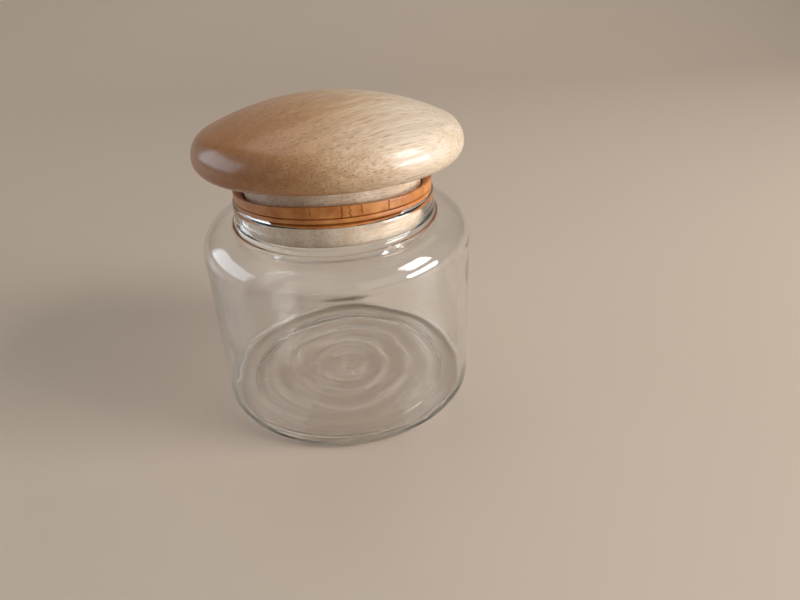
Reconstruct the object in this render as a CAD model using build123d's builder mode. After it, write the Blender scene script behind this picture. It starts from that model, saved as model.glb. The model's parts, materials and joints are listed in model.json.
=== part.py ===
"""Short glass canister with a turned wooden lid that stands a little askew in the neck on its sealing ring."""

import os
from math import acos, atan2, cos, degrees, radians, sin

from build123d import *

# Glass jar
body_radius = 50.0
body_wall = 2.6
shoulder_height = 73.0
shoulder_radius = 10.6
shoulder_wall = 2.8
neck_radius = 36.7
neck_wall = 3.2
neck_height = 8.8
neck_fillet = 2.4
rim_round = 1.2
floor_thickness = 3.6
floor_corner_radius = 2.0
heel_radius = 3.0
foot_ring_width = 7.0
foot_recess = 1.2

# Most of a ledge or a wall that one of its two rounds may take
outer_round_share = 0.8
neck_round_share = 0.19
rim_round_share = 0.45

# Wooden lid, measured along its own axis from the seat in the middle of the rim
lid_tilt = 5.0
dome_radius = 47.8
dome_equator = 15.9
dome_rise = 17.7
dome_drop = 12.9
crown_edge_round = 9.0
underside_edge_round = 6.0
plug_depth = 11.0
plug_edge_round = 0.8
groove_depth = 1.6
groove_top = -1.0
groove_width = 3.6

# Sealing ring, measured along the same axis
lip_overhang = 3.9
lip_thickness = 1.2
lip_top = 3.3
lip_height = 3.2
lip_flare = 2.4
rib_count = 2
rib_pitch = 2.2
rib_depth = 1.9
rib_crest = 1.4
rib_root_width = 1.9
rib_root_setback = 2.0

# Clearances
plug_clearance = 0.55
groove_clearance = 0.08
groove_end_clearance = 0.2
lip_gap = 0.4
neck_clearance = 0.3

# The lid's axis leans back through the middle of the rim, so the lid's front stands up
rim_height = shoulder_height + neck_height
lean = radians(lid_tilt)
seat = (0, 0, rim_height)
lid_axis = Axis(seat, (0, sin(lean), cos(lean)))
lid_section = Plane(seat, x_dir=(1, 0, 0), z_dir=(0, -cos(lean), sin(lean)))

# The leaning plug clears the neck's bore with its lower edge, and carries the groove and the ring
bore_radius = neck_radius - neck_wall
plug_radius = (bore_radius - plug_clearance - plug_depth * sin(lean)) / cos(lean)
groove_radius = plug_radius - groove_depth
groove_bottom = groove_top - groove_width
lip_radius = plug_radius + lip_overhang

# Rounds of the glass, each held within the wall that carries it
inner_radius = body_radius - body_wall
inner_shoulder_height = shoulder_height - shoulder_wall
ledge = body_radius - neck_radius
inner_ledge = inner_radius - bore_radius
shoulder_round = min(shoulder_radius, outer_round_share * ledge)
neck_round = min(neck_fillet, neck_round_share * ledge)
inner_shoulder_round = min(shoulder_radius - body_wall, outer_round_share * inner_ledge)
bore_round = min(neck_fillet, neck_round_share * inner_ledge)
rim_edge = min(rim_round, rim_round_share * neck_wall)
foot_inner_radius = body_radius - heel_radius - foot_ring_width

os.makedirs("parts", exist_ok=True)

# Jar: thick floor, straight wall, round shoulder and short neck, on a narrow foot ring round a hollowed base
with BuildPart() as glass_jar:
    with BuildSketch(Plane.XZ) as jar_section:
        with BuildLine():
            Polyline(
                (foot_inner_radius, 0),
                (body_radius, 0),
                (body_radius, shoulder_height),
                (neck_radius, shoulder_height),
                (neck_radius, rim_height),
                (bore_radius, rim_height),
                (bore_radius, inner_shoulder_height),
                (inner_radius, inner_shoulder_height),
                (inner_radius, floor_thickness),
                (0, floor_thickness),
                (0, foot_recess),
            )
            TangentArc((0, foot_recess), (foot_inner_radius, 0), tangent=(1, 0))
        make_face()
        for r, z, round_radius in (
            (body_radius, 0, heel_radius),
            (body_radius, shoulder_height, shoulder_round),
            (neck_radius, shoulder_height, neck_round),
            (neck_radius, rim_height, rim_edge),
            (bore_radius, rim_height, rim_edge),
            (bore_radius, inner_shoulder_height, bore_round),
            (inner_radius, inner_shoulder_height, inner_shoulder_round),
            (inner_radius, floor_thickness, floor_corner_radius),
        ):
            fillet(jar_section.vertices().sort_by_distance((r, z))[0], round_radius)
    revolve(axis=Axis.Z)
glass_jar.part.label = "glass_jar"
export_step(glass_jar.part, "parts/glass_jar.step")


# Lid: a flattened dome above a round plug, turned from one piece, with a groove for the ring.
# Each face of the dome is a wide arc that runs on into the round of the edge.
def wide_arc_radius(height, edge_round):
    reach = dome_radius - edge_round
    return (reach**2 + height**2 - edge_round**2) / (2 * (height - edge_round))


crown_radius = wide_arc_radius(dome_rise, crown_edge_round)
crown_angle = degrees(atan2(crown_radius - dome_rise, dome_radius - crown_edge_round))
underside_radius = wide_arc_radius(dome_drop, underside_edge_round)
underside_angle = degrees(atan2(underside_radius - dome_drop, dome_radius - underside_edge_round))
plug_angle = degrees(acos(plug_radius / underside_radius))
crown_center = (0, dome_equator + dome_rise - crown_radius)
underside_center = (0, dome_equator - dome_drop + underside_radius)

with BuildPart() as wooden_lid:
    with BuildSketch(lid_section) as lid_profile:
        with BuildLine():
            underside = CenterArc(
                underside_center, underside_radius, -plug_angle, arc_size=plug_angle - underside_angle
            )
            CenterArc(
                (dome_radius - underside_edge_round, dome_equator),
                underside_edge_round,
                -underside_angle,
                arc_size=underside_angle,
            )
            CenterArc(
                (dome_radius - crown_edge_round, dome_equator), crown_edge_round, 0, arc_size=crown_angle
            )
            CenterArc(crown_center, crown_radius, crown_angle, arc_size=90 - crown_angle)
            Polyline(
                (0, dome_equator + dome_rise),
                (0, -plug_depth),
                (plug_radius, -plug_depth),
                (plug_radius, groove_bottom),
                (groove_radius, groove_bottom),
                (groove_radius, groove_top),
                (plug_radius, groove_top),
                underside @ 0,
            )
        make_face()
        fillet(lid_profile.vertices().sort_by_distance((plug_radius, -plug_depth))[0], plug_edge_round)
    revolve(axis=lid_axis)
wooden_lid.part.label = "wooden_lid"
export_step(wooden_lid.part, "parts/wooden_lid.step")

# Ring: a sleeve in the plug's groove, ribs up its outside and a lip that stands out from the plug
ring_bore_radius = groove_radius + groove_clearance
ring_bottom = groove_bottom + groove_end_clearance
sleeve_top = groove_top - groove_end_clearance
lip_bottom = lip_top - lip_height
rib_root_radius = lip_radius - rib_root_setback
rib_outline = []
for rib in reversed(range(rib_count)):
    rib_middle = lip_bottom - (rib + 0.5) * rib_pitch
    rib_outline += [
        (rib_root_radius, rib_middle - rib_root_width / 2),
        (rib_root_radius + rib_depth, rib_middle - rib_crest / 2),
        (rib_root_radius + rib_depth, rib_middle + rib_crest / 2),
        (rib_root_radius, rib_middle + rib_root_width / 2),
    ]

with BuildPart() as sealing_ring:
    with BuildSketch(lid_section):
        with BuildLine():
            Polyline(
                (ring_bore_radius, ring_bottom),
                (rib_root_radius, ring_bottom),
                *rib_outline,
                (rib_root_radius, lip_bottom),
                (lip_radius, lip_bottom),
                (lip_radius, lip_top),
                (lip_radius - lip_thickness, lip_top),
                (plug_radius + lip_gap, lip_top - lip_flare),
                (plug_radius + lip_gap, sleeve_top),
                (ring_bore_radius, sleeve_top),
                close=True,
            )
        make_face()
    revolve(axis=lid_axis)
    # Whatever stands lower than the rim is squeezed into the neck's bore
    with BuildSketch(Plane.XZ):
        with Locations((bore_radius - neck_clearance, rim_height + neck_clearance)):
            Rectangle(lip_radius, 2 * (lip_top - ring_bottom), align=(Align.MIN, Align.MAX))
    revolve(axis=Axis.Z, mode=Mode.SUBTRACT)
sealing_ring.part.label = "sealing_ring"
export_step(sealing_ring.part, "parts/sealing_ring.step")
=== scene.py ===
import json
from math import acos, asin, atan2, cos, degrees, pi, radians, sin, sqrt, tau

import bpy
from mathutils import Matrix, Vector


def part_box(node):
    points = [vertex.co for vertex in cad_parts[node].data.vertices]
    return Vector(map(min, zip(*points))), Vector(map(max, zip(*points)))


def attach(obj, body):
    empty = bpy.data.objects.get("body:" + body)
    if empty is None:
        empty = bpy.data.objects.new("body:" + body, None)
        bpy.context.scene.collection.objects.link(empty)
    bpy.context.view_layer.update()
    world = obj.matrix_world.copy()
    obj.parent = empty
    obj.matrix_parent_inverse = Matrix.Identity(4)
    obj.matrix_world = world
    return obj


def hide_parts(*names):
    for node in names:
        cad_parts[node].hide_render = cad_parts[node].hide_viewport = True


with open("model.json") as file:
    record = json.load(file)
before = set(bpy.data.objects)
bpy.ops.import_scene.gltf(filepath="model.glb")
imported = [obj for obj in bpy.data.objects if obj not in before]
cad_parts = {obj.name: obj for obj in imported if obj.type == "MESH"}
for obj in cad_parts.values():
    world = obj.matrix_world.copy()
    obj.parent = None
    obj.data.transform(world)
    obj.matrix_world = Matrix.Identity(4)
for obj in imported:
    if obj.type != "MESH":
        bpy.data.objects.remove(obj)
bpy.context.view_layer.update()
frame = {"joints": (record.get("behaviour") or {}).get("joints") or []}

# Sizes in metres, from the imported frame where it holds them
MM = 0.001
jar_low, jar_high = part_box("glass_jar")
turn_joint = next(joint for joint in frame["joints"] if joint["name"] == "lid_turn")

# Glass jar
body_radius = jar_high.x
rim_height = jar_high.z
body_wall = 2.6 * MM
shoulder_height = 73.0 * MM
shoulder_radius = 10.6 * MM
shoulder_wall = 2.8 * MM
neck_radius = 36.7 * MM
neck_wall = 3.2 * MM
neck_fillet = 2.4 * MM
rim_round = 1.2 * MM
floor_thickness = 3.6 * MM
floor_corner_radius = 2.0 * MM
heel_radius = 3.0 * MM
foot_ring_width = 7.0 * MM
foot_recess = 1.2 * MM
foot_step = 0.5 * MM
foot_step_width = 1.4 * MM
bore_radius = neck_radius - neck_wall
inner_radius = body_radius - body_wall
wall_top = shoulder_height - shoulder_radius

# Waves that the mould and the cooling leave in the glass
ripple_height = 0.34 * MM
ripple_spacing = 9.6 * MM
wall_wave_height = 0.5 * MM
wall_wave_size = 26.0 * MM
wall_wave_fade = 16.0 * MM
ripple_points = 70

# Wooden lid, measured along its own axis from the seat in the middle of the rim
seat = Vector(turn_joint["pos_m"])
lid_axis = Vector(turn_joint["axis"])
lean = atan2(lid_axis.y, lid_axis.z)
dome_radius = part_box("wooden_lid")[1].x
dome_equator = 15.9 * MM
dome_rise = 17.7 * MM
dome_drop = 12.9 * MM
crown_edge_round = 9.0 * MM
underside_edge_round = 6.0 * MM
plug_depth = 11.0 * MM
plug_clearance = 0.55 * MM
plug_radius = (bore_radius - plug_clearance - plug_depth * sin(lean)) / cos(lean)
plug_edge_round = 0.8 * MM
groove_depth = 1.6 * MM
groove_top = -1.0 * MM
groove_width = 3.6 * MM

# Sealing ring, measured along the same axis
lip_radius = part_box("sealing_ring")[1].x
lip_thickness = 1.2 * MM
lip_top = 3.3 * MM
lip_height = 3.2 * MM
lip_flare = 2.4 * MM
lip_edge_round = 0.35 * MM
rib_count = 2
rib_pitch = 2.2 * MM
rib_depth = 1.9 * MM
rib_crest = 1.4 * MM
rib_root_width = 1.9 * MM
rib_edge_round = 0.3 * MM
rib_root_setback = 2.0 * MM
ring_clearance = 0.08 * MM
ring_end_clearance = 0.2 * MM
lip_gap = 0.4 * MM

# The ring presses into the neck with no air between rubber and glass, and its lip rides up at the front
press_depth = 0.03 * MM
lip_ride = 0.8 * MM
ride_middle = radians(-8)
ride_sharpness = 6

# Cracks in the ring's lip: degrees round the lid's axis from the front,
# and millimetres that each one runs down
lip_cracks = (
    (-13.2, 2.2),
    (2.7, 3.0),
    (6.9, 3.0),
    (13.2, 2.6),
    (28.8, 3.2),
    (74.0, 2.4),
    (128.0, 2.8),
    (197.0, 2.5),
)
crack_depth = 0.4 * MM
crack_jag = radians(0.45)
crack_jag_pitch = 1.3 * MM
crack_jag_shift = 40

# How finely the turned pieces are spun, and how near points are that merge
merge_distance = 0.004 * MM
jar_spin_steps = 288
lid_spin_steps = 256
ring_spin_steps = 720


def arc(center, radius, start, end, steps):
    """Points (radius, height) on an arc from start to end, in degrees, both ends included."""
    angles = [radians(start + (end - start) * step / steps) for step in range(steps + 1)]
    return [(center[0] + radius * cos(angle), center[1] + radius * sin(angle)) for angle in angles]


def straight(start, end, steps):
    """Points between start and end, without the two ends."""
    shares = [step / steps for step in range(1, steps)]
    return [(start[0] + (end[0] - start[0]) * s, start[1] + (end[1] - start[1]) * s) for s in shares]


def spun_piece(name, outline, steps):
    """A turned piece: one vertex is extruded along the outline, and the outline is spun round Z."""
    bpy.ops.object.select_all(action="DESELECT")
    bpy.ops.mesh.primitive_plane_add(size=MM, location=(0, 0, 0))
    piece = bpy.context.object
    piece.name = name
    piece.data.name = name
    bpy.ops.object.mode_set(mode="EDIT")
    bpy.ops.mesh.select_mode(type="VERT")
    bpy.ops.mesh.merge(type="CENTER")
    bpy.ops.transform.translate(value=(outline[0][0], 0, outline[0][1]))
    for (r0, z0), (r1, z1) in zip(outline, outline[1:]):
        bpy.ops.mesh.extrude_vertices_move(TRANSFORM_OT_translate={"value": (r1 - r0, 0, z1 - z0)})
    bpy.ops.mesh.select_all(action="SELECT")
    bpy.ops.mesh.spin(steps=steps, angle=tau, center=(0, 0, 0), axis=(0, 0, 1))
    bpy.ops.mesh.select_all(action="SELECT")
    bpy.ops.mesh.remove_doubles(threshold=merge_distance)
    bpy.ops.mesh.normals_make_consistent(inside=False)
    bpy.ops.object.mode_set(mode="OBJECT")
    return piece


def smooth(piece, angle=38):
    """Smooth shading, except across edges that turn by more than the angle, in degrees."""
    bpy.ops.object.select_all(action="DESELECT")
    piece.select_set(True)
    bpy.context.view_layer.objects.active = piece
    bpy.ops.object.shade_smooth_by_angle(angle=radians(angle))


def stand_on_lid_axis(piece):
    """Leans a piece that was turned round Z onto the lid's own axis, and leaves its place in its mesh."""
    bpy.ops.object.select_all(action="DESELECT")
    piece.select_set(True)
    bpy.context.view_layer.objects.active = piece
    piece.location = seat
    piece.rotation_euler = (-lean, 0, 0)
    bpy.ops.object.transform_apply(location=True, rotation=True, scale=False)


def wave(piece, group, share_of, height, size):
    """Low waves in part of a surface, as a displacement that is applied to the mesh."""
    waved = piece.vertex_groups.new(name=group)
    for vertex in piece.data.vertices:
        share = share_of(vertex.co)
        if share > 0:
            waved.add([vertex.index], share, "REPLACE")
    clouds = bpy.data.textures.new(group, "CLOUDS")
    clouds.noise_scale = size
    clouds.noise_depth = 1
    waves = piece.modifiers.new(group, "DISPLACE")
    waves.texture = clouds
    waves.texture_coords = "LOCAL"
    waves.vertex_group = group
    waves.strength = height
    waves.mid_level = 0.5
    bpy.context.view_layer.objects.active = piece
    bpy.ops.object.modifier_apply(modifier=group)


class Wire:
    """One output of a finish's nodes. Arithmetic on wires adds Math nodes to the same finish."""

    def __init__(self, finish, socket):
        self.finish = finish
        self.socket = socket

    def maths(self, operation, first, second):
        return self.finish.node("ShaderNodeMath", {"operation": operation}, {0: first, 1: second})

    def __add__(self, other):
        return self.maths("ADD", self, other)

    def __sub__(self, other):
        return self.maths("SUBTRACT", self, other)

    def __rsub__(self, other):
        return self.maths("SUBTRACT", other, self)

    def __mul__(self, other):
        return self.maths("MULTIPLY", self, other)

    __radd__ = __add__
    __rmul__ = __mul__


class Finish:
    """The nodes of one material, or of the world."""

    def __init__(self, owner):
        self.owner = owner
        owner.use_nodes = True
        self.tree = owner.node_tree
        self.tree.nodes.clear()

    def node(self, kind, settings=None, sockets=None, output=0):
        """Adds a node: its settings first, then its sockets. Gives the wire of one output, if it has any."""
        made = self.tree.nodes.new(kind)
        for name, value in (settings or {}).items():
            setattr(made, name, value)
        for name, value in (sockets or {}).items():
            if isinstance(value, Wire):
                self.tree.links.new(value.socket, made.inputs[name])
            else:
                made.inputs[name].default_value = value
        return Wire(self, made.outputs[output]) if made.outputs else None

    def place(self):
        return self.node("ShaderNodeTexCoord", output="Object")

    def stretched(self, vector, scale):
        return self.node("ShaderNodeVectorMath", {"operation": "MULTIPLY"}, {0: vector, 1: scale})

    def noise(self, vector, scale, detail=2.0, roughness=0.5, output="Fac"):
        sockets = {"Vector": vector, "Scale": scale, "Detail": detail, "Roughness": roughness}
        return self.node("ShaderNodeTexNoise", {}, sockets, output)

    def cells(self, vector):
        """Distance from the middle of the nearest of scattered cells."""
        return self.node("ShaderNodeTexVoronoi", {}, {"Vector": vector, "Scale": 1.0}, "Distance")

    def between(self, value, low, high):
        """Value as a share of the way from low to high, eased and held at both ends."""
        settings = {"interpolation_type": "SMOOTHSTEP", "clamp": True}
        sockets = {"Value": value, "From Min": low, "From Max": high}
        return self.node("ShaderNodeMapRange", settings, sockets)

    def mix(self, share, first, last):
        """A colour, share of the way from first to last."""
        colours = [c if isinstance(c, Wire) else (*c, 1.0) for c in (first, last)]
        settings = {"data_type": "RGBA"}
        return self.node("ShaderNodeMix", settings, {0: share, 6: colours[0], 7: colours[1]}, 2)

    def bump(self, height, distance, strength):
        return self.node("ShaderNodeBump", {}, {"Height": height, "Distance": distance, "Strength": strength})

    def show(self, shader, output="ShaderNodeOutputMaterial", volume=None):
        ends = {"Surface": shader}
        if volume:
            ends["Volume"] = volume
        self.node(output, {}, ends)
        return self.owner


def new_finish(name):
    return Finish(bpy.data.materials.new(name))


# Wood: the fibres lie across the lid, turned a little from its left-to-right line
fibre_turn = radians(36)
fibre_frame = Matrix.Rotation(-lean, 3, "X") @ Matrix.Rotation(fibre_turn, 3, "Z")

# Pale wood, whitened with a painted sheen of the light from the right
wood_pale_and_painted_sheen = (0.71, 0.59, 0.455)
wood_tan = (0.545, 0.34, 0.168)
# Amber wood, darkened with painted shade for the side away from the light
wood_amber_and_painted_shade = (0.37, 0.135, 0.031)
wood_deep = (0.19, 0.066, 0.018)
wood_pore = (0.20, 0.095, 0.038)
plug_pale = (0.85, 0.73, 0.58)
plug_tan = (0.70, 0.53, 0.37)

# Marks in the wood per metre, along the fibres and across them
wander_marks = (22, 48, 48)
broad_marks = (9, 34, 34)
streak_marks = (18, 330, 330)
fine_marks = (120, 1900, 1900)
vessel_marks = (70, 1050, 1050)
small_vessel_marks = (130, 1700, 1700)
wander_reach = (0, 3.0 * MM, 3.0 * MM)

# Where the lacquered wood changes from amber through tan to pale, to the right of the lid's middle: partly
# the wood's own tone, partly painted shade that darkens the left into amber and a painted sheen that whitens
# the right
shaded_amber_to_tan = (-38.0 * MM, 11.0 * MM)
tan_to_sheened_pale = (-14.0 * MM, 34.0 * MM)
tone_wander = 30.0 * MM


def along_fibres(finish):
    """Place in the wood, with x along the fibres, which wander slowly."""
    sockets = {"Vector": finish.place(), "Location": seat, "Rotation": fibre_frame.to_euler()}
    fibre = finish.node("ShaderNodeMapping", {"vector_type": "TEXTURE"}, sockets)
    wander = finish.noise(finish.stretched(fibre, wander_marks), 1.0, 1.0, output="Color")
    shift = finish.stretched(wander, wander_reach)
    return finish.node("ShaderNodeVectorMath", {"operation": "ADD"}, {0: fibre, 1: shift})


def wood_grain(finish, fibre):
    """Streaks of growth, fine fibres, and pores as dark dashes."""
    streak = finish.noise(finish.stretched(fibre, streak_marks), 1.0, 3.0, 0.6)
    fine = finish.noise(finish.stretched(fibre, fine_marks), 1.0, 2.0, 0.55)
    vessels = finish.cells(finish.stretched(fibre, vessel_marks))
    small_vessels = finish.cells(finish.stretched(fibre, small_vessel_marks))
    pores = finish.between(vessels, 0.36, 0.16) * 0.8 + finish.between(small_vessels, 0.46, 0.22) * 0.5
    return streak, fine, pores


def lacquered_wood():
    """Satin lacquer over wood that goes from amber to pale, partly its own tone and partly painted shade on
    the amber left and a painted sheen on the pale right, with darker grain on the amber side.
    """
    finish = new_finish("satin_lacquered_wood")
    fibre = along_fibres(finish)
    streak, fine, pores = wood_grain(finish, fibre)
    broad = finish.noise(finish.stretched(fibre, broad_marks), 1.0, 1.0)
    across = finish.node("ShaderNodeSeparateXYZ", {}, {0: finish.place()}, "X") + tone_wander * (broad - 0.5)
    # Painted sheen: the right side is made paler and whiter, partly wood tone and partly the sheen of the
    # light from the right
    pale_and_sheen_side = finish.between(across, *tan_to_sheened_pale)
    tone = finish.mix(finish.between(across, *shaded_amber_to_tan), wood_amber_and_painted_shade, wood_tan)
    tone = finish.mix(pale_and_sheen_side * (0.78 + 0.22 * finish.between(streak, 0.3, 0.7)), tone, wood_pale_and_painted_sheen)
    # Painted shade: the left side keeps the darker amber and its stronger grain, partly wood tone and partly
    # shade
    amber_and_shade_side = 1 - pale_and_sheen_side
    tone = finish.mix(finish.between(streak, 0.62, 0.38) * (0.06 + 0.17 * amber_and_shade_side), tone, wood_deep)
    tone = finish.mix(finish.between(fine, 0.42, 0.62) * (0.13 + 0.13 * amber_and_shade_side), tone, wood_deep)
    tone = finish.mix(pores * (0.36 + 0.24 * amber_and_shade_side), tone, wood_pore)
    shader = finish.node(
        "ShaderNodeBsdfPrincipled",
        {},
        {
            "Base Color": tone,
            "Roughness": 0.42 + 0.16 * fine,
            "IOR": 1.38,
            "Coat Weight": 0.7,
            "Coat Roughness": 0.2,
            "Normal": finish.bump(0.6 * fine - pores, 0.05 * MM, 0.6),
        },
    )
    return finish.show(shader)


def bare_plug_wood():
    """Pale dull wood, as the plug is left under the lacquered dome."""
    finish = new_finish("bare_plug_wood")
    streak, fine, pores = wood_grain(finish, along_fibres(finish))
    tone = finish.mix(finish.between(streak, 0.3, 0.7), plug_tan, plug_pale)
    tone = finish.mix(finish.between(fine, 0.45, 0.65) * 0.35, tone, wood_tan)
    tone = finish.mix(pores * 0.35, tone, wood_pore)
    shader = finish.node(
        "ShaderNodeBsdfPrincipled",
        {},
        {
            "Base Color": tone,
            "Roughness": 0.62 + 0.2 * fine,
            "Normal": finish.bump(0.6 * fine - pores, 0.07 * MM, 0.8),
        },
    )
    return finish.show(shader)


amber_light = (0.58, 0.235, 0.060)
amber_deep = (0.40, 0.125, 0.022)
amber_dark = (0.085, 0.026, 0.008)


def amber_rubber():
    """Mottled rubber with a slight gloss and dark grit."""
    finish = new_finish("aged_amber_rubber")
    sockets = {"Vector": finish.place(), "Location": seat, "Rotation": (-lean, 0, 0)}
    ring = finish.node("ShaderNodeMapping", {"vector_type": "TEXTURE"}, sockets)
    mottle = finish.noise(ring, 160.0, 3.0, 0.6)
    grit = finish.noise(ring, 2600.0, 2.0)
    tone = finish.mix(finish.between(mottle, 0.35, 0.68), amber_deep, amber_light)
    tone = finish.mix(finish.between(grit, 0.62, 0.74) * 0.5, tone, amber_dark)
    shader = finish.node(
        "ShaderNodeBsdfPrincipled",
        {},
        {
            "Base Color": tone,
            "Roughness": 0.30 + 0.2 * mottle,
            "Coat Weight": 0.25,
            "Coat Roughness": 0.18,
            "Normal": finish.bump(0.5 * mottle + 0.3 * grit, 0.06 * MM, 0.6),
        },
    )
    return finish.show(shader)


glass_depth_tint = (0.67, 0.70, 0.67)
glass_depth_density = 13.0


def clear_glass():
    """Clear glass with faint waves and a slight grey-green tint in its depth."""
    finish = new_finish("clear_wavy_glass")
    waves = finish.noise(finish.stretched(finish.place(), (1, 1, 0.55)), 70.0, 1.0)
    glass = finish.node(
        "ShaderNodeBsdfPrincipled",
        {},
        {
            "Base Color": (1.0, 1.0, 1.0, 1.0),
            "Roughness": 0.0,
            "IOR": 1.5,
            "Transmission Weight": 1.0,
            "Normal": finish.bump(waves, 0.5 * MM, 0.25),
        },
    )
    depth = {"Color": (*glass_depth_tint, 1.0), "Density": glass_depth_density}
    return finish.show(glass, volume=finish.node("ShaderNodeVolumeAbsorption", {}, depth))


def glass_jar():
    """Jar with a rippled floor, straight wall, round shoulder and short neck, on a flat foot ring."""
    foot_inner = body_radius - heel_radius - foot_ring_width
    hollow_edge = foot_inner - foot_step_width
    hollow = foot_recess - foot_step
    hollow_sphere = (hollow_edge**2 + hollow**2) / (2 * hollow)
    hollow_angle = degrees(asin(hollow_edge / hollow_sphere))
    inner_shoulder = shoulder_height - shoulder_wall
    inner_round = shoulder_radius - body_wall
    floor_edge = inner_radius - floor_corner_radius
    neck_foot = shoulder_height + neck_fillet
    rim_foot = rim_height - rim_round
    outline = arc((0, foot_recess - hollow_sphere), hollow_sphere, 90, 90 - hollow_angle, 14)
    for share in (0.2, 0.4, 0.6, 0.8, 1.0):
        step_drop = foot_step * (1 - cos(pi * share)) / 2
        outline.append((hollow_edge + share * foot_step_width, foot_step - step_drop))
    outline += arc((body_radius - heel_radius, heel_radius), heel_radius, -90, 0, 12)
    outline += straight((body_radius, heel_radius), (body_radius, wall_top), 28)
    outline += arc((body_radius - shoulder_radius, wall_top), shoulder_radius, 0, 90, 20)
    outline += arc((neck_radius + neck_fillet, neck_foot), neck_fillet, 270, 180, 10)
    outline += straight((neck_radius, neck_foot), (neck_radius, rim_foot), 4)
    outline += arc((neck_radius - rim_round, rim_foot), rim_round, 0, 90, 8)
    outline += arc((bore_radius + rim_round, rim_foot), rim_round, 90, 180, 8)
    outline += straight((bore_radius, rim_foot), (bore_radius, inner_shoulder + neck_fillet), 5)
    outline += arc((bore_radius + neck_fillet, inner_shoulder + neck_fillet), neck_fillet, 180, 270, 10)
    outline += arc((inner_radius - inner_round, inner_shoulder - inner_round), inner_round, 90, 0, 16)
    floor_corner = (floor_edge, floor_thickness + floor_corner_radius)
    outline += straight((inner_radius, inner_shoulder - inner_round), (inner_radius, floor_corner[1]), 28)
    outline += arc(floor_corner, floor_corner_radius, 0, -90, 12)
    for r, z in straight((floor_edge, floor_thickness), (0, floor_thickness), ripple_points):
        fade = sin(pi * min(1.0, (floor_edge - r) / ripple_spacing) / 2)
        outline.append((r, z + ripple_height * fade * cos(tau * r / ripple_spacing)))
    outline.append((0, floor_thickness + ripple_height))
    jar = spun_piece("jar_glass", outline, jar_spin_steps)
    wave(jar, "wall_waves", wall_wave_share, wall_wave_height, wall_wave_size)
    smooth(jar, 60)
    jar.data.materials.append(clear_glass())
    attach(jar, "jar")
    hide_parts("glass_jar")


def wall_wave_share(point):
    """Share of the waves at a point: only on the inner wall, and less towards the floor and the shoulder."""
    if abs(sqrt(point.x**2 + point.y**2) - inner_radius) > MM / 10:
        return 0.0
    from_ends = min(point.z - floor_thickness, wall_top - point.z)
    return min(1.0, from_ends / wall_wave_fade)


def wide_arc_radius(height, edge_round):
    """Radius of the dome's wide arc that rises by the height and runs on into the round of the edge."""
    reach = dome_radius - edge_round
    return (reach**2 + height**2 - edge_round**2) / (2 * (height - edge_round))


def wooden_lid():
    """A flattened dome above a round plug, turned from one piece, with a groove for the ring."""
    crown_radius = wide_arc_radius(dome_rise, crown_edge_round)
    crown_angle = degrees(atan2(crown_radius - dome_rise, dome_radius - crown_edge_round))
    under_radius = wide_arc_radius(dome_drop, underside_edge_round)
    under_angle = degrees(atan2(under_radius - dome_drop, dome_radius - underside_edge_round))
    plug_angle = degrees(acos(plug_radius / under_radius))
    groove_radius = plug_radius - groove_depth
    groove_bottom = groove_top - groove_width
    outline = arc((0, dome_equator + dome_rise - crown_radius), crown_radius, 90, crown_angle, 40)[:-1]
    outline += arc((dome_radius - crown_edge_round, dome_equator), crown_edge_round, crown_angle, 0, 20)
    edge_center = (dome_radius - underside_edge_round, dome_equator)
    outline += arc(edge_center, underside_edge_round, 0, -under_angle, 16)[1:-1]
    under_center = (0, dome_equator - dome_drop + under_radius)
    outline += arc(under_center, under_radius, -under_angle, -plug_angle, 12)
    plug_top = outline[-1][1]
    outline += straight(outline[-1], (plug_radius, groove_top), 6)
    outline += [
        (plug_radius, groove_top),
        (groove_radius, groove_top),
        (groove_radius, groove_bottom),
        (plug_radius, groove_bottom),
    ]
    plug_edge = (plug_radius - plug_edge_round, plug_edge_round - plug_depth)
    outline += arc(plug_edge, plug_edge_round, 0, -90, 6)
    outline += straight(outline[-1], (0, -plug_depth), 16)
    outline.append((0, -plug_depth))
    lid = spun_piece("lid_wood", outline, lid_spin_steps)
    lid.data.materials.append(lacquered_wood())
    lid.data.materials.append(bare_plug_wood())
    for face in lid.data.polygons:
        center = face.center
        on_plug = center.z < plug_top and sqrt(center.x**2 + center.y**2) < plug_radius + MM / 20
        face.material_index = int(on_plug)
    stand_on_lid_axis(lid)
    smooth(lid)
    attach(lid, "lid")
    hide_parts("wooden_lid")


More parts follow.
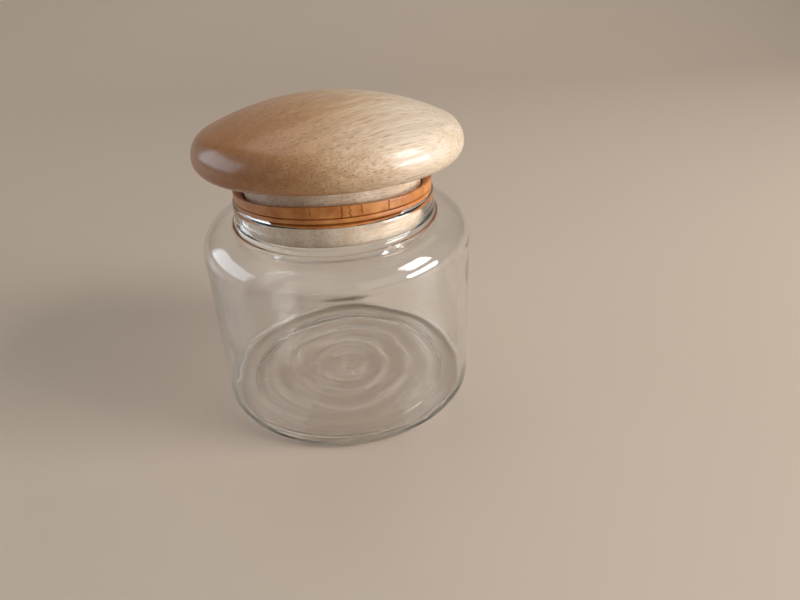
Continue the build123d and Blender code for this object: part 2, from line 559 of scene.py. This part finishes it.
def sealing_ring():
    """A sleeve in the plug's groove, with ribs up its outside and a cracked lip that stands out."""
    ring_bore = plug_radius - groove_depth + ring_clearance
    ring_bottom = groove_top - groove_width + ring_end_clearance
    sleeve_top = groove_top - ring_end_clearance
    lip_bottom = lip_top - lip_height
    rib_root = lip_radius - rib_root_setback
    outline = [(ring_bore, sleeve_top)]
    outline += straight((ring_bore, sleeve_top), (ring_bore, ring_bottom), 4)
    outline += [(ring_bore, ring_bottom), (rib_root, ring_bottom)]
    for rib in reversed(range(rib_count)):
        middle = lip_bottom - (rib + 0.5) * rib_pitch
        corner = rib_root + rib_depth - rib_edge_round
        rise = rib_crest / 2 - rib_edge_round
        outline.append((rib_root, middle - rib_root_width / 2))
        outline += straight(outline[-1], (corner, middle - rib_crest / 2), 4)
        outline += arc((corner, middle - rise), rib_edge_round, -90, 0, 3)
        outline += straight(outline[-1], (corner + rib_edge_round, middle + rise), 5)
        outline += arc((corner, middle + rise), rib_edge_round, 0, 90, 3)
        outline += straight(outline[-1], (rib_root, middle + rib_root_width / 2), 4)
        outline.append((rib_root, middle + rib_root_width / 2))
    lip_corner = lip_radius - lip_edge_round
    low_corner = lip_bottom + lip_edge_round
    high_corner = lip_top - lip_edge_round
    outline += [(rib_root, lip_bottom), *arc((lip_corner, low_corner), lip_edge_round, -90, 0, 4)]
    outline += straight((lip_radius, low_corner), (lip_radius, high_corner), 14)
    outline += arc((lip_corner, high_corner), lip_edge_round, 0, 90, 4)
    inner_corner = lip_radius - lip_thickness + lip_edge_round
    outline += arc((inner_corner, high_corner), lip_edge_round, 90, 160, 3)
    flare_foot = (plug_radius + lip_gap, lip_top - lip_flare)
    outline += straight(outline[-1], flare_foot, 5)
    outline += [flare_foot, (plug_radius + lip_gap, sleeve_top), (ring_bore, sleeve_top)]
    ring = spun_piece("ring_rubber", outline, ring_spin_steps)
    for angle, run in lip_cracks:
        crack_lip(ring, radians(angle), run * MM)
    ride_up(ring)
    stand_on_lid_axis(ring)
    squeeze_into_neck(ring)
    smooth(ring)
    ring.data.materials.append(amber_rubber())
    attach(ring, "seal")
    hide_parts("sealing_ring")


def crack_lip(ring, angle, run):
    """Pushes one jagged row of the lip's outer face inwards, from its top edge down."""
    half_step = pi / ring_spin_steps
    for vertex in ring.data.vertices:
        flat = Vector((vertex.co.x, vertex.co.y, 0))
        if flat.length > lip_radius - 0.7 * lip_thickness and vertex.co.z > lip_top - run:
            here = angle + crack_jag * sin(tau * vertex.co.z / crack_jag_pitch + crack_jag_shift * angle)
            outward = Vector((sin(here), -cos(here), 0))
            if flat.angle(outward) < half_step:
                vertex.co -= crack_depth * outward


def ride_up(ring):
    """Lifts the lip's edge at the front, where the ring stands highest on the rim."""
    for vertex in ring.data.vertices:
        share = (vertex.co.z - lip_top + lip_height) / lip_height
        if share > 0:
            toward = cos(atan2(vertex.co.x, -vertex.co.y) - ride_middle)
            vertex.co.z += lip_ride * share * max(0.0, toward) ** ride_sharpness


def neck_limit(height):
    """How wide the ring may be at a height: the neck's bore and its round edge, and free above the rim."""
    below = rim_height - press_depth - height
    if below <= 0:
        return body_radius
    edge = max(0.0, rim_round - below)
    return bore_radius + rim_round - sqrt(rim_round**2 - edge**2) + press_depth


def squeeze_into_neck(ring):
    """Draws in whatever stands lower than the rim until it fits the neck."""
    for vertex in ring.data.vertices:
        radius = sqrt(vertex.co.x**2 + vertex.co.y**2)
        share = min(1.0, neck_limit(vertex.co.z) / radius)
        vertex.co.x *= share
        vertex.co.y *= share


# Stage: a pale floor that sweeps up behind
floor_half = 3.0
sweep_start = 1.1
sweep_rise = 2.2
sweep_round = 0.6
sweep_segments = 16
floor_tone = (0.48, 0.39, 0.31)
floor_drop = 0.05 * MM


def pale_stage():
    """A plane whose back edge is drawn up and rounded, in a pale matt tone."""
    bpy.ops.object.select_all(action="DESELECT")
    bpy.ops.mesh.primitive_plane_add(size=2 * floor_half, location=(0, sweep_start - floor_half, -floor_drop))
    stage = bpy.context.object
    stage.name = "pale_sweep"
    bpy.ops.object.transform_apply(location=True)
    bpy.ops.object.mode_set(mode="EDIT")
    bpy.ops.mesh.select_all(action="DESELECT")
    bpy.ops.object.mode_set(mode="OBJECT")
    for edge in stage.data.edges:
        edge.select = all(stage.data.vertices[v].co.y > sweep_start - MM for v in edge.vertices)
    bpy.ops.object.mode_set(mode="EDIT")
    bpy.ops.mesh.select_mode(type="EDGE")
    bpy.ops.mesh.extrude_region_move(TRANSFORM_OT_translate={"value": (0, 0, sweep_rise)})
    bpy.ops.object.mode_set(mode="OBJECT")
    sweep = stage.modifiers.new("sweep", "BEVEL")
    sweep.width = sweep_round
    sweep.segments = sweep_segments
    bpy.ops.object.modifier_apply(modifier="sweep")
    smooth(stage)
    finish = new_finish("pale_floor")
    soft = finish.noise(finish.place(), 3.0, 2.0)
    tone = finish.mix(soft, floor_tone, tuple(0.96 * c for c in floor_tone))
    shader = finish.node("ShaderNodeBsdfPrincipled", {}, {"Base Color": tone, "Roughness": 0.42})
    stage.data.materials.append(finish.show(shader))


# Light: two softboxes to the right, weaker ones round the jar, and an even sky
look_at = Vector((0, 0, 0.07))


def softbox(name, azimuth, elevation, distance, width, height, watts, colour):
    """A lamp seen from the object at that azimuth, from the front to the right, and elevation, in degrees."""
    az, el = radians(azimuth), radians(elevation)
    toward = Vector((sin(az) * cos(el), -cos(az) * cos(el), sin(el)))
    lamp = bpy.data.lights.new(name, "AREA")
    lamp.shape = "RECTANGLE"
    lamp.size = width
    lamp.size_y = height
    lamp.energy = watts
    lamp.color = colour
    stand = bpy.data.objects.new(name, lamp)
    bpy.context.scene.collection.objects.link(stand)
    stand.location = look_at + distance * toward
    stand.rotation_euler = toward.to_track_quat("Z", "Y").to_euler()
    stand.visible_camera = False


def studio_light():
    softbox("key_right", 72, 35, 0.9, 0.36, 0.32, 5.2, (1.0, 1.0, 0.99))
    softbox("low_right", 68, 8, 0.9, 0.50, 0.18, 4.6, (1.0, 1.0, 0.99))
    softbox("window_left_back", -104, 16, 0.9, 0.80, 0.46, 2.6, (0.78, 0.89, 1.0))
    softbox("front_fill", 34, 18, 1.2, 0.9, 0.6, 1.1, (1.0, 0.98, 0.96))
    softbox("overhead", 175, 66, 1.2, 1.4, 1.0, 3.8, (1.0, 0.98, 0.95))
    finish = Finish(bpy.data.worlds.new("even_sky"))
    sky = finish.node("ShaderNodeBackground", {}, {"Color": (0.93, 0.96, 1.0, 1.0), "Strength": 0.30})
    bpy.context.scene.world = finish.show(sky, "ShaderNodeOutputWorld")


# Camera, as measured from the jar's circles in the photograph
camera_place = (0, -0.22415, 0.16742)
camera_right = (0.9918, -0.1226, -0.0355)
camera_up = (0.0938, 0.5110, 0.8545)
camera_forward = (0.0867, 0.8508, -0.5183)
focal_pixels = 640
picture_width = 800


def photo_camera():
    lens = bpy.data.cameras.new("photo_camera")
    lens.sensor_width = 36.0
    lens.lens = lens.sensor_width * focal_pixels / picture_width
    lens.clip_start = MM
    camera = bpy.data.objects.new("photo_camera", lens)
    bpy.context.scene.collection.objects.link(camera)
    back = [-c for c in camera_forward]
    turn = Matrix((camera_right, camera_up, back)).transposed().to_4x4()
    camera.matrix_world = Matrix.Translation(camera_place) @ turn
    bpy.context.scene.camera = camera


def glass_bounces():
    """Enough bounces for light that runs along inside the wall and the foot."""
    cycles = bpy.context.scene.cycles
    cycles.max_bounces = 24
    cycles.glossy_bounces = 16
    cycles.transmission_bounces = 24
    cycles.blur_glossy = 0.0


bpy.context.scene.view_settings.view_transform = "Standard"
glass_bounces()
glass_jar()
wooden_lid()
sealing_ring()
pale_stage()
studio_light()
photo_camera()
